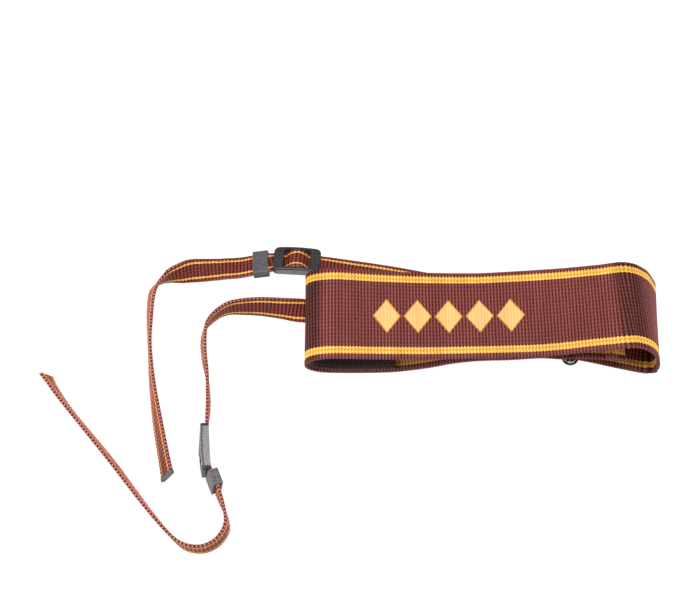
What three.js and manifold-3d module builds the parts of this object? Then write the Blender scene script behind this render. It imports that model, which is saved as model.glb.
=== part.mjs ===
// Camera neck strap, lying folded on a table: a wide ribbed neck band, and two narrow
// straps with a slide buckle and a keeper on each.
import * as THREE from 'three';
import { mergeVertices } from 'three/addons/utils/BufferGeometryUtils.js';
import Module from 'manifold-3d';

const wasm = await Module();
wasm.setup();

// Driving sizes, in millimetres
const CLEARANCE = 0.3;
const BAND_WIDTH = 38.6;
const BAND_THICK = 1.5;
const HEM_LENGTH = 8;
const HEM_THICK = 1.7;
const STRAP_WIDTH = 9.4;
const STRAP_THICK = 1.2;
const EDGE_ROUND = 0.35;
const STEP = 3.0;

// Slide buckle: outer size, window, and the bar that the strap arches over
const BUCKLE = { length: 19, width: 12.2, height: 3.7, corner: 1.7, bevel: 0.3 };
const WINDOW = { length: 11, width: 10, channel: 1.5 };
const BAR = { length: 1.8, low: 0.9, high: 2.15 };
const ARCH = { half: 5.4, rise: 2.8 };

// Backing pad on the band's inner face, by distance along the band
const PAD = { thick: 0.9, inset: 1.1, from: 91.5, to: 186 };

// Cap on the cut end of strap A
const TIP = { length: 1.3, extra: 0.3 };

// Keeper: a flat plastic tube round the strap
const KEEPER = { length: 6.3, width: 11.2, height: 4, corner: 0.7, bevel: 0.25 };
const KEEPER_HOLE = { width: 10, height: 2.4, corner: 0.4 };

// Press stud through the band's near edge, below the top panel
const STUD = {
  capRadius: 3.4,
  capThick: 1.5,
  shank: 0.8,
  hole: 1.1,
  headRadius: 1.5,
  headThick: 0.9,
  inset: 1.6,
  fromEnd: 22.5,
};

// Distances along each strap from its sewn end, and the face that the strap arches to
const ON_STRAP_A = { buckleAt: 106, keeperAt: 121.3, sign: -1 };
const ON_STRAP_B = { buckleAt: 242.8, keeperAt: 255.7, sign: 1 };

// Where the tables' zero lies, so that the origin is under the middle of the whole strap
const TABLE_ZERO = { x: -1.16, y: 42.43, z: 0.08 };

const named = (columns, rows) => rows.map(
  (row) => Object.fromEntries(columns.map((column, i) => [column, row[i]])));

// Neck band, at the middle of its thickness. near and far are the heights of its two
// edges, and shift is how far the far edge lies to the right of the near one.
const BAND_COLUMNS = ['x', 'y', 'near', 'far', 'shift'];

const LOWER_LAYER = named(BAND_COLUMNS, [
  [107.2, -32.4, 9.6, 11.5, 0.5],
  [99.2, -32.7, 12.8, 13.6, 0.3],
  [91, -32.6, 13.8, 13.8, 0],
  [83, -32.6, 13.1, 12.9, 0],
  [74, -32.6, 14.2, 12, 0],
  [62, -33.1, 13.7, 10.4, 0],
  [49.3, -33.1, 12.6, 9, 0],
  [40.2, -33.1, 10, 7.6, 0],
  [31, -33.1, 5.6, 5.8, 0],
  [24, -33.1, 3, 4.6, 0],
  [16, -33.2, 1.2, 3.8, 0],
  [6, -33.3, 0.75, 3.5, 0],
  [-5, -33.3, 0.75, 3.5, 0],
]);

const TOP_PANEL = named(BAND_COLUMNS, [
  [-5, -33, 14.75, 15.2, 0],
  [10, -33, 14.2, 12.9, 0],
  [29, -33, 13.9, 11.3, 0],
  [50, -33, 14.9, 11, 0],
  [62, -33, 15.6, 12.2, 0],
  [74, -33, 16.7, 13.8, 0],
  [84.6, -32.9, 19, 15.4, 0],
  [92, -32.8, 21.2, 16.9, 0],
  [99, -32.7, 22.8, 18.4, 0],
  [104.6, -32.6, 24, 20, 0.4],
]);

const RIGHT_FOLD = named(BAND_COLUMNS, [
  [108.8, -32.3, 24, 19.5, 0.5],
  [113, -32.4, 22.4, 17.6, 0.3],
  [116.8, -32.6, 18.6, 13.6, 0.3],
  [119.2, -32.8, 12.8, 8.4, 1],
  [120.5, -33.3, 6.8, 3, 2.2],
  [120, -33.5, 2.6, 1, 2.6],
  [117.4, -33.5, 0.8, 0.8, 2.8],
]);

const BOTTOM_LAYER = named(BAND_COLUMNS, [
  [110, -32.2, 0.9, 0.8, 4.2],
  [102, -30.7, 1.5, 0.8, 5.4],
  [94.3, -29.4, 2.6, 0.9, 6.2],
  [86, -28, 3, 1.2, 6.3],
  [79, -26.9, 3, 1.5, 6.3],
]);

const LEFT_FOLD = { reach: 12, power: 2.3, rows: 7 };

// Narrow straps. lift is the gap under the strap's lowest edge, and lean is the angle of
// its width: 0 lies flat, 90 stands on edge, and over 90 leans to the other side.
const STRAP_COLUMNS = ['x', 'y', 'lift', 'lean'];

const STRAP_A = named(STRAP_COLUMNS, [
  [81.6, -7.75, 2.3, 0],
  [72.0, -5.6, 0.8, 0],
  [60.0, -2.0, 0, 0],
  [45.0, 2.5, 0, 0],
  [28.3, 6.5, 0, 0],
  [14.0, 9.3, 0, 0],
  [-2.0, 11.9, 0, -2],
  [-11.0, 12.9, 0.8, -12],
  [-16.5, 13.5, 1.2, -18],
  [-26.5, 14.1, 1.3, -18],
  [-31.0, 14.3, 1.4, -18],
  [-33.8, 13.7, 1.9, -13],
  [-37.0, 13.3, 1.75, -10],
  [-40.2, 12.9, 1.4, -8],
  [-45.0, 12.6, 0.4, -5],
  [-53.0, 12.3, 0, 0],
  [-60.0, 11.3, 0, 16],
  [-65.0, 10.2, 0, 40],
  [-68.8, 8.8, 0, 62],
  [-71.8, 7.8, 0, 78],
  [-74.2, 6.7, 0, 92],
  [-76.0, 5.4, 0, 104],
  [-77.6, 4.0, 0, 110],
  [-78.8, 2.2, 0, 115],
  [-79.5, 0.0, 0, 115],
  [-79.8, -3.4, 0, 111],
  [-79.9, -7.5, 0, 109],
  [-79.7, -14.5, 0, 105],
  [-79.2, -22.9, 0, 99],
  [-78.1, -33.6, 0, 102],
  [-76.5, -44.1, 0, 107],
  [-74.1, -56.4, 0, 113],
  [-71.4, -68.6, 0, 116],
  [-69.7, -76.1, 0, 119],
]);

const STRAP_B = named(STRAP_COLUMNS, [
  [108.2, -13.0, 10.4, 0],
  [112.5, -13.0, 9.0, 0],
  [115.8, -13.0, 6.4, 0],
  [116.2, -13.0, 3.9, 0],
  [113.5, -13.0, 2.4, 0],
  [104.0, -12.9, 2.5, 0],
  [97.0, -12.7, 3.6, 0],
  [91.5, -12.5, 5.3, 0],
  [86.0, -12.4, 5.6, 0],
  [80.0, -12.2, 5.3, 0],
  [74.0, -12.0, 3.8, 0],
  [67.0, -11.6, 2.3, 0],
  [60.0, -11.2, 1.7, 0],
  [52.0, -10.7, 1.0, 0],
  [44.0, -10.2, 0.3, 0],
  [34.0, -9.5, 0, 0],
  [5.0, -7.7, 0, 0],
  [-11.0, -6.8, 0, 1],
  [-18.1, -6.9, 0, 18],
  [-22.0, -7.1, 0, 38],
  [-27.0, -6.8, 0, 54],
  [-36.0, -6.1, 0, 66],
  [-44.0, -6.3, 0, 76],
  [-48.3, -6.9, 0, 84],
  [-51.9, -8.6, 0, 91],
  [-55.0, -11.3, 0, 95],
  [-57.3, -14.6, 0, 100],
  [-58.0, -19.5, 0, 104],
  [-57.5, -27.2, 0, 101],
  [-56.0, -35.7, 0, 95],
  [-55.2, -44.1, 0, 90],
  [-55.0, -50.0, 0.8, 91],
  [-55.1, -56.5, 1.4, 94],
  [-54.5, -66.0, 1.4, 96],
  [-53.5, -75.0, 1.4, 97],
  [-51.8, -78.3, 1.5, 99],
  [-50.5, -81.7, 1.4, 99],
  [-49.1, -85.7, 0.8, 97],
  [-47.6, -89.5, 0.2, 92],
  [-46.5, -93.0, 0, 88],
  [-46.1, -96.6, 0, 85],
  [-47.6, -100.5, 0, 86],
  [-51.0, -103.9, 0, 88],
  [-55.8, -105.5, 0, 90],
  [-61.5, -104.5, 0, 92],
  [-66.4, -100.9, 0, 96],
  [-75.8, -90.4, 0, 99],
  [-91.4, -70.7, 0, 103],
  [-108.1, -50.9, 0, 101],
  [-112.9, -44.8, 0, 103],
  [-117.0, -39.0, 0, 106],
  [-119.1, -35.8, 0, 112],
]);

const radians = THREE.MathUtils.degToRad;

// One smooth row for about every STEP of travel, through every row of a table
function smoothRows(rows, travel) {
  const reach = [0];
  for (let i = 1; i < rows.length; i += 1) reach.push(reach[i - 1] + travel(rows[i - 1], rows[i]));
  const slope = (column, i) => {
    const before = Math.max(i - 1, 0);
    const after = Math.min(i + 1, rows.length - 1);
    return (rows[after][column] - rows[before][column]) / (reach[after] - reach[before]);
  };
  const blend = (column, i, t) => {
    const span = reach[i + 1] - reach[i];
    const [a, b] = [rows[i][column], rows[i + 1][column]];
    const [m, n] = [slope(column, i) * span, slope(column, i + 1) * span];
    return a + m * t + (3 * (b - a) - 2 * m - n) * t ** 2 + (2 * (a - b) + m + n) * t ** 3;
  };
  const result = [rows[0]];
  for (let i = 0; i + 1 < rows.length; i += 1) {
    const pieces = Math.max(1, Math.round((reach[i + 1] - reach[i]) / STEP));
    for (let k = 1; k <= pieces; k += 1) {
      const row = {};
      for (const column of Object.keys(rows[0])) row[column] = blend(column, i, k / pieces);
      result.push(row);
    }
  }
  return result;
}

// Adds to each station its direction of travel, its face direction and its distance
function finishStations(stations) {
  let distance = 0;
  stations.forEach((station, i) => {
    const before = stations[Math.max(i - 1, 0)].point;
    const after = stations[Math.min(i + 1, stations.length - 1)].point;
    if (i > 0) distance += station.point.distanceTo(before);
    station.along = after.clone().sub(before).normalize();
    station.across.addScaledVector(station.along, -station.across.dot(station.along)).normalize();
    station.face = new THREE.Vector3().crossVectors(station.along, station.across);
    station.distance = distance;
  });
  return stations;
}

// Stations of a narrow strap. The width's level direction is square to the travel, and
// keeps its side where the strap turns back under itself.
function strapStations(rows) {
  const smooth = smoothRows(rows, (a, b) => Math.hypot(b.x - a.x, b.y - a.y, b.lift - a.lift));
  const up = new THREE.Vector3(0, 0, 1);
  let side = new THREE.Vector3(0, 1, 0);
  return finishStations(smooth.map((row, i) => {
    const before = smooth[Math.max(i - 1, 0)];
    const after = smooth[Math.min(i + 1, smooth.length - 1)];
    const travel = new THREE.Vector3(after.x - before.x, after.y - before.y, 0);
    if (travel.length() > 0.5) {
      const level = new THREE.Vector3().crossVectors(up, travel).normalize();
      side = level.dot(side) < 0 ? level.negate() : level;
    }
    const lean = radians(row.lean);
    const height = row.lift + STRAP_WIDTH / 2 * Math.abs(Math.sin(lean))
      + STRAP_THICK / 2 * Math.abs(Math.cos(lean));
    return {
      point: new THREE.Vector3(row.x, row.y, height),
      across: side.clone().multiplyScalar(Math.cos(lean)).addScaledVector(up, Math.sin(lean)),
    };
  }));
}

// The left fold is a half loop between the lower layer and the top panel
function leftFoldRows(low, high) {
  const rows = [];
  for (let i = 1; i <= LEFT_FOLD.rows; i += 1) {
    const angle = Math.PI * (i / (LEFT_FOLD.rows + 1) - 0.5);
    const power = 2 / LEFT_FOLD.power;
    const out = Math.cos(angle) ** power;
    const rise = (1 + Math.sign(angle) * Math.abs(Math.sin(angle)) ** power) / 2;
    rows.push({
      x: low.x - LEFT_FOLD.reach * out,
      y: THREE.MathUtils.lerp(low.y, high.y, rise),
      near: THREE.MathUtils.lerp(low.near, high.near, rise),
      far: THREE.MathUtils.lerp(low.far, high.far, rise),
      shift: 0,
    });
  }
  return rows;
}

// Stations of the neck band, from its sewn end at the right round both folds
function bandStations() {
  const rows = [
    ...LOWER_LAYER,
    ...leftFoldRows(LOWER_LAYER.at(-1), TOP_PANEL[0]),
    ...TOP_PANEL,
    ...RIGHT_FOLD,
    ...BOTTOM_LAYER,
  ];
  const smooth = smoothRows(rows, (a, b) => Math.hypot(b.x - a.x, b.near - a.near));
  return finishStations(smooth.map((row) => {
    const rise = row.far - row.near;
    const depth = Math.sqrt(BAND_WIDTH ** 2 - rise ** 2 - row.shift ** 2);
    const across = new THREE.Vector3(row.shift, depth, rise);
    const point = new THREE.Vector3(row.x, row.y, row.near).addScaledVector(across, 0.5);
    return { point, across: across.normalize() };
  }));
}

// A station at a given distance, between its two neighbours
function stationAt(stations, distance) {
  const i = Math.max(1, stations.findIndex((station) => station.distance >= distance));
  const [a, b] = [stations[i - 1], stations[i]];
  const t = (distance - a.distance) / (b.distance - a.distance);
  const mix = (name) => a[name].clone().lerp(b[name], t);
  return {
    point: mix('point'),
    along: mix('along').normalize(),
    across: mix('across').normalize(),
    face: mix('face').normalize(),
    distance,
  };
}

// The stations between two distances, with one at each end
function cut(stations, from, to) {
  const inside = stations.filter((s) => s.distance > from + 0.2 && s.distance < to - 0.2);
  return [stationAt(stations, from), ...inside, stationAt(stations, to)];
}

// A flat section with eased edges, between two heights over the station's own middle
function sectionAt(station, width, low, high) {
  const half = width / 2;
  const ease = Math.min(EDGE_ROUND, (high - low) / 3);
  const corners = [
    [-half, low + ease], [-half + ease, low], [half - ease, low], [half, low + ease],
    [half, high - ease], [half - ease, high], [-half + ease, high], [-half, high - ease],
  ];
  return corners.map(([side, height]) => station.point.clone()
    .addScaledVector(station.across, side)
    .addScaledVector(station.face, height));
}

// A closed body through a row of sections, with its faces pointing out
function loft(sections) {
  const count = sections[0].length;
  const last = (sections.length - 1) * count;
  const triangles = [];
  for (let i = 0; i + 1 < sections.length; i += 1) {
    for (let k = 0; k < count; k += 1) {
      const [a, b] = [i * count + k, i * count + (k + 1) % count];
      triangles.push([a, b, b + count], [a, b + count, a + count]);
    }
  }
  for (let k = 1; k + 1 < count; k += 1) {
    triangles.push([0, k + 1, k], [last, last + k, last + k + 1]);
  }
  const points = sections.flat();
  const volume = triangles.reduce((sum, [a, b, c]) => sum
    + points[a].dot(new THREE.Vector3().crossVectors(points[b], points[c])), 0);
  const index = volume > 0 ? triangles : triangles.map(([a, b, c]) => [a, c, b]);
  const geometry = new THREE.BufferGeometry().setFromPoints(points);
  geometry.setIndex(index.flat());
  return geometry;
}

// Joins vertices by place, so that a geometry is one closed surface
function closed(geometry) {
  const bare = geometry.clone();
  bare.deleteAttribute('normal');
  bare.deleteAttribute('uv');
  return mergeVertices(bare, 1e-4);
}

function toManifold(geometry) {
  const merged = closed(geometry);
  return new wasm.Manifold(new wasm.Mesh({
    numProp: 3,
    vertProperties: new Float32Array(merged.attributes.position.array),
    triVerts: new Uint32Array(merged.index.array),
  }));
}

function fromManifold(body) {
  const mesh = body.getMesh();
  const geometry = new THREE.BufferGeometry();
  geometry.setAttribute('position', new THREE.BufferAttribute(mesh.vertProperties, mesh.numProp));
  geometry.setIndex(new THREE.BufferAttribute(mesh.triVerts, 1));
  return geometry;
}

// The outline of a rectangle with round corners, centred on zero
function roundedOutline(length, width, corner) {
  const [x, y] = [length / 2, width / 2];
  const shape = new THREE.Shape();
  shape.moveTo(-x + corner, -y);
  shape.lineTo(x - corner, -y);
  shape.absarc(x - corner, -y + corner, corner, -Math.PI / 2, 0);
  shape.lineTo(x, y - corner);
  shape.absarc(x - corner, y - corner, corner, 0, Math.PI / 2);
  shape.lineTo(-x + corner, y);
  shape.absarc(-x + corner, y - corner, corner, Math.PI / 2, Math.PI);
  shape.lineTo(-x, -y + corner);
  shape.absarc(-x + corner, -y + corner, corner, Math.PI, Math.PI * 1.5);
  return shape;
}

// A flat plate of a given outline, with a small bevel inside its full size
function plate(length, width, height, corner, bevel) {
  const outline = roundedOutline(length - 2 * bevel, width - 2 * bevel, corner - bevel);
  const geometry = new THREE.ExtrudeGeometry(outline, {
    depth: height - 2 * bevel,
    bevelSize: bevel,
    bevelThickness: bevel,
    bevelSegments: 1,
    curveSegments: 4,
  });
  return geometry.translate(0, 0, bevel);
}

function block(length, width, low, high) {
  return new THREE.BoxGeometry(length, width, high - low).translate(0, 0, (low + high) / 2);
}

// Slide buckle: x runs along the strap, and zero height is the strap's under face
function buckleGeometry() {
  const body = toManifold(plate(
    BUCKLE.length, BUCKLE.width, BUCKLE.height, BUCKLE.corner, BUCKLE.bevel));
  const window = toManifold(block(WINDOW.length, WINDOW.width, -1, BUCKLE.height + 1));
  const channel = toManifold(block(BUCKLE.length + 2, WINDOW.width, -1, WINDOW.channel));
  const bar = toManifold(block(BAR.length, WINDOW.width + 0.4, BAR.low, BAR.high));
  return fromManifold(body.subtract(window).subtract(channel).add(bar));
}

// Keeper: x runs along the strap, and zero height is the strap's middle
function keeperGeometry() {
  const { length, width, height, corner, bevel } = KEEPER;
  const outline = roundedOutline(height - 2 * bevel, width - 2 * bevel, corner - bevel);
  const tube = new THREE.ExtrudeGeometry(outline, {
    depth: length - 2 * bevel,
    bevelSize: bevel,
    bevelThickness: bevel,
    bevelSegments: 1,
    curveSegments: 3,
  });
  tube.translate(0, 0, bevel - length / 2).rotateY(Math.PI / 2);
  const hole = new THREE.ExtrudeGeometry(
    roundedOutline(KEEPER_HOLE.height, KEEPER_HOLE.width, KEEPER_HOLE.corner),
    { depth: length + 2, bevelEnabled: false, curveSegments: 2 });
  hole.translate(0, 0, -length / 2 - 1).rotateY(Math.PI / 2);
  return fromManifold(toManifold(tube).subtract(toManifold(hole)));
}

// Press stud, turned about its own axis: cap below the webbing, shank, head above it
function studGeometry() {
  const low = -BAND_THICK / 2 - CLEARANCE;
  const high = BAND_THICK / 2 + CLEARANCE;
  const { capRadius, capThick, shank, headRadius, headThick } = STUD;
  const profile = [
    [0, low - capThick],
    [capRadius - 0.6, low - capThick],
    [capRadius, low - capThick + 0.5],
    [capRadius, low - 0.4],
    [capRadius - 0.4, low],
    [shank, low],
    [shank, high],
    [headRadius, high],
    [headRadius, high + headThick - 0.3],
    [headRadius - 0.4, high + headThick],
    [0, high + headThick],
  ].map(([radius, height]) => new THREE.Vector2(radius, height));
  return new THREE.LatheGeometry(profile, 28).rotateX(Math.PI / 2);
}

// The band's webbing, thicker where each end is folded back and sewn down, with the
// press stud's hole through its near edge
function bandGeometry(stations) {
  const end = stations.at(-1).distance;
  const parts = [
    { from: 0, to: HEM_LENGTH - 0.05, inner: BAND_THICK / 2 + HEM_THICK },
    { from: HEM_LENGTH, to: end - HEM_LENGTH, inner: BAND_THICK / 2 },
    { from: end - HEM_LENGTH + 0.05, to: end, inner: BAND_THICK / 2 + HEM_THICK },
  ];
  const webbing = toManifold(loft(parts.flatMap(({ from, to, inner }) => cut(stations, from, to)
    .map((station) => sectionAt(station, BAND_WIDTH, -inner, BAND_THICK / 2)))));
  const drill = new THREE.CylinderGeometry(STUD.hole, STUD.hole, 3 * BAND_THICK, 16);
  drill.rotateX(Math.PI / 2).applyMatrix4(frameOf(studStation(stations)));
  return fromManifold(webbing.subtract(toManifold(drill)));
}

function ribbonGeometry(stations, width, thick) {
  return loft(stations.map((s) => sectionAt(s, width, -thick / 2, thick / 2)));
}

// The pad lies on the band's inner face, round the left fold
function padGeometry(stations) {
  const high = -BAND_THICK / 2 - CLEARANCE;
  return loft(cut(stations, PAD.from, PAD.to)
    .map((s) => sectionAt(s, BAND_WIDTH - 2 * PAD.inset, high - PAD.thick, high)));
}

// The cap on a strap's cut end
function tipGeometry(stations) {
  const end = stations.at(-1);
  const moved = (distance) => ({ ...end, point: end.point.clone().addScaledVector(end.along, distance) });
  return ribbonGeometry(
    [moved(CLEARANCE), moved(CLEARANCE + TIP.length)], STRAP_WIDTH + TIP.extra, STRAP_THICK + TIP.extra);
}

// Lifts a strap over a buckle's bar, to the side that the sign gives
function archOver(stations, at, sign) {
  const reach = ARCH.half + 0.6;
  const fine = [];
  for (let gap = -reach; gap <= reach; gap += reach / 8) fine.push(stationAt(stations, at + gap));
  const all = [
    ...stations.filter((s) => s.distance < at - reach - 0.3),
    ...fine,
    ...stations.filter((s) => s.distance > at + reach + 0.3),
  ];
  return finishStations(all.map((station) => {
    const gap = Math.min(Math.abs(station.distance - at), ARCH.half);
    const rise = ARCH.rise * Math.cos(Math.PI * gap / ARCH.half / 2) ** 2;
    const point = station.point.clone().addScaledVector(station.face, sign * rise);
    return { ...station, point, across: station.across.clone() };
  }));
}

function frameOf(station) {
  return new THREE.Matrix4()
    .makeBasis(station.along, station.across, station.face).setPosition(station.point);
}

// The stud's place: near the band's near edge, and the cap on the face that lies down
function studStation(stations) {
  const station = stationAt(stations, STUD.fromEnd);
  station.point.addScaledVector(station.across, STUD.inset - BAND_WIDTH / 2);
  station.across.negate();
  station.face.negate();
  return station;
}

// A buckle's place: its zero height is the strap's face away from the arch
function buckleStation(stations, at, sign) {
  const station = stationAt(stations, at);
  station.point.addScaledVector(station.face, -sign * STRAP_THICK / 2);
  station.across.multiplyScalar(sign);
  station.face.multiplyScalar(sign);
  return station;
}

function material(colour, roughness) {
  return new THREE.MeshStandardMaterial({ color: colour, roughness, metalness: 0 });
}

const burgundy = material(0x783c3c, 0.85);
const black = material(0x2c2a2b, 0.5);
const backing = material(0x1c1717, 0.9);

const group = new THREE.Group();
group.position.set(TABLE_ZERO.x, TABLE_ZERO.y, TABLE_ZERO.z);

function addMesh(name, geometry, finish, station) {
  const mesh = new THREE.Mesh(closed(geometry), finish.clone());
  mesh.name = name;
  if (station) {
    mesh.matrix.makeBasis(station.along, station.across, station.face).setPosition(station.point);
    mesh.matrix.decompose(mesh.position, mesh.quaternion, mesh.scale);
  }
  group.add(mesh);
  return mesh;
}

const band = bandStations();
addMesh('neck_band', bandGeometry(band), burgundy);
addMesh('band_backing', padGeometry(band), backing);
addMesh('press_stud', studGeometry(), black, studStation(band));

const straps = [
  { letter: 'a', rows: STRAP_A, ...ON_STRAP_A },
  { letter: 'b', rows: STRAP_B, ...ON_STRAP_B },
];
for (const { letter, rows, buckleAt, keeperAt, sign } of straps) {
  const route = strapStations(rows);
  const arched = archOver(route, buckleAt, sign);
  addMesh(`strap_${letter}`, ribbonGeometry(arched, STRAP_WIDTH, STRAP_THICK), burgundy);
  addMesh(`buckle_${letter}`, buckleGeometry(), black, buckleStation(route, buckleAt, sign));
  addMesh(`keeper_${letter}`, keeperGeometry(), black, stationAt(route, keeperAt));
  if (letter === 'a') addMesh('tip_a', tipGeometry(route), black);
}

export default group;
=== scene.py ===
# %% [markdown]
# # A camera neck strap, lying folded on a white table
#
# The strap is a wide ribbed neck band, folded over on itself twice, and two narrow straps.
# Each narrow strap runs through a slide buckle and a keeper. This lesson dresses the
# rigid model of it: every piece of webbing gets its real ribs, selvage, stripes and
# stitches, and every moulding gets its soft edges and its plastic.
#
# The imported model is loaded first. It stays as it is, and fixes where everything goes.

import math
from functools import partial

import bmesh
import bpy
import numpy as np
from mathutils import Matrix, Vector


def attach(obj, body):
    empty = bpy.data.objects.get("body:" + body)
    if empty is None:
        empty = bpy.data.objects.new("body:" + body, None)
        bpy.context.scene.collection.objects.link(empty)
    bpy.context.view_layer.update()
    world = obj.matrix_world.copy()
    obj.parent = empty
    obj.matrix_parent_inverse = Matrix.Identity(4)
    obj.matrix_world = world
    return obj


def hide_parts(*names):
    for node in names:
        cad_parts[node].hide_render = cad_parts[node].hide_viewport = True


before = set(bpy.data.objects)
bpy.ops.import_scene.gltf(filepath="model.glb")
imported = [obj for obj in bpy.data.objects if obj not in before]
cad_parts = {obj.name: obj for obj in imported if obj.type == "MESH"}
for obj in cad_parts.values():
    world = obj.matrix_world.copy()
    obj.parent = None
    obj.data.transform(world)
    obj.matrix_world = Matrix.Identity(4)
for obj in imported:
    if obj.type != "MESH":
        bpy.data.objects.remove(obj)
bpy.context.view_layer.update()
MM = 0.001

# %% [markdown]
# ## The camera
#
# The strap was photographed with a longish lens from 65 degrees above the table, looking
# straight along +Y. The camera comes first, because every size below was read through
# it. TABLE_ZERO is where the zero of the tables further down lies in the model's frame.

# %% Place the camera
TABLE_ZERO = np.array([-1.16, 42.43, 0.08])
CAMERA_RISE = math.radians(65)
CAMERA_FAR = 600 * MM
LENS = 76.2


def place_camera():
    """A camera that looks down at the zero of the tables."""
    data = bpy.data.cameras.new("camera")
    data.lens = LENS
    data.sensor_width = 36
    data.clip_start = 0.01
    camera = bpy.data.objects.new("camera", data)
    aim = Vector((TABLE_ZERO[0], TABLE_ZERO[1], 0)) * MM
    away = Vector((0, -math.cos(CAMERA_RISE), math.sin(CAMERA_RISE)))
    camera.location = aim + CAMERA_FAR * away
    camera.rotation_euler = (math.pi / 2 - CAMERA_RISE, 0, 0)
    bpy.context.collection.objects.link(camera)
    bpy.context.scene.camera = camera
    return camera


camera = place_camera()
print("camera at", [round(v, 3) for v in camera.location])

# %% [markdown]
# ## How the strap lies
#
# Webbing could be draped by a cloth simulation, but that would lose the exact folds that
# were photographed. Here each run of webbing follows a short table, with one row for each
# place where it changes direction, and a smooth curve through the rows. The tables are
# the same as those of the rigid model, so the woven surface lies where its solid lies.
#
# For the neck band, near and far are the heights of its two edges above the table, and
# shift is how far the far edge lies to the right of the near one.

# %% The neck band's table, in millimetres
BAND_WIDTH = 38.6
BAND_THICK = 1.5

# columns: x, y, near, far, shift
LOWER_LAYER = [
    (107.2, -32.4, 9.6, 11.5, 0.5),
    (99.2, -32.7, 12.8, 13.6, 0.3),
    (91, -32.6, 13.8, 13.8, 0),
    (83, -32.6, 13.1, 12.9, 0),
    (74, -32.6, 14.2, 12, 0),
    (62, -33.1, 13.7, 10.4, 0),
    (49.3, -33.1, 12.6, 9, 0),
    (40.2, -33.1, 10, 7.6, 0),
    (31, -33.1, 5.6, 5.8, 0),
    (24, -33.1, 3, 4.6, 0),
    (16, -33.2, 1.2, 3.8, 0),
    (6, -33.3, 0.75, 3.5, 0),
    (-5, -33.3, 0.75, 3.5, 0),
]
TOP_PANEL = [
    (-5, -33, 14.75, 15.2, 0),
    (10, -33, 14.2, 12.9, 0),
    (29, -33, 13.9, 11.3, 0),
    (50, -33, 14.9, 11, 0),
    (62, -33, 15.6, 12.2, 0),
    (74, -33, 16.7, 13.8, 0),
    (84.6, -32.9, 19, 15.4, 0),
    (92, -32.8, 21.2, 16.9, 0),
    (99, -32.7, 22.8, 18.4, 0),
    (104.6, -32.6, 24, 20, 0.4),
]
RIGHT_FOLD = [
    (108.8, -32.3, 24, 19.5, 0.5),
    (113, -32.4, 22.4, 17.6, 0.3),
    (116.8, -32.6, 18.6, 13.6, 0.3),
    (119.2, -32.8, 12.8, 8.4, 1),
    (120.5, -33.3, 6.8, 3, 2.2),
    (120, -33.5, 2.6, 1, 2.6),
    (117.4, -33.5, 0.8, 0.8, 2.8),
]
BOTTOM_LAYER = [
    (110, -32.2, 0.9, 0.8, 4.2),
    (102, -30.7, 1.5, 0.8, 5.4),
    (94.3, -29.4, 2.6, 0.9, 6.2),
    (86, -28, 3, 1.2, 6.3),
    (79, -26.9, 3, 1.5, 6.3),
]
LEFT_FOLD_REACH = 12.0
LEFT_FOLD_POWER = 2.3
LEFT_FOLD_ROWS = 7

# %% [markdown]
# For a narrow strap, lift is the gap under its lowest edge, and lean is the angle of its
# width: 0 lies flat, 90 stands on edge, and over 90 leans to the other side. Strap A is
# the one that ends in a capped tip, and strap B the long one that loops round below.

# %% The narrow straps' tables, in millimetres
STRAP_WIDTH = 9.4
STRAP_THICK = 1.2

# columns: x, y, lift, lean
STRAP_A = [
    (81.6, -7.75, 2.3, 0),
    (72.0, -5.6, 0.8, 0),
    (60.0, -2.0, 0, 0),
    (45.0, 2.5, 0, 0),
    (28.3, 6.5, 0, 0),
    (14.0, 9.3, 0, 0),
    (-2.0, 11.9, 0, -2),
    (-11.0, 12.9, 0.8, -12),
    (-16.5, 13.5, 1.2, -18),
    (-26.5, 14.1, 1.3, -18),
    (-31.0, 14.3, 1.4, -18),
    (-33.8, 13.7, 1.9, -13),
    (-37.0, 13.3, 1.75, -10),
    (-40.2, 12.9, 1.4, -8),
    (-45.0, 12.6, 0.4, -5),
    (-53.0, 12.3, 0, 0),
    (-60.0, 11.3, 0, 16),
    (-65.0, 10.2, 0, 40),
    (-68.8, 8.8, 0, 62),
    (-71.8, 7.8, 0, 78),
    (-74.2, 6.7, 0, 92),
    (-76.0, 5.4, 0, 104),
    (-77.6, 4.0, 0, 110),
    (-78.8, 2.2, 0, 115),
    (-79.5, 0.0, 0, 115),
    (-79.8, -3.4, 0, 111),
    (-79.9, -7.5, 0, 109),
    (-79.7, -14.5, 0, 105),
    (-79.2, -22.9, 0, 99),
    (-78.1, -33.6, 0, 102),
    (-76.5, -44.1, 0, 107),
    (-74.1, -56.4, 0, 113),
    (-71.4, -68.6, 0, 116),
    (-69.7, -76.1, 0, 119),
]
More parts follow.
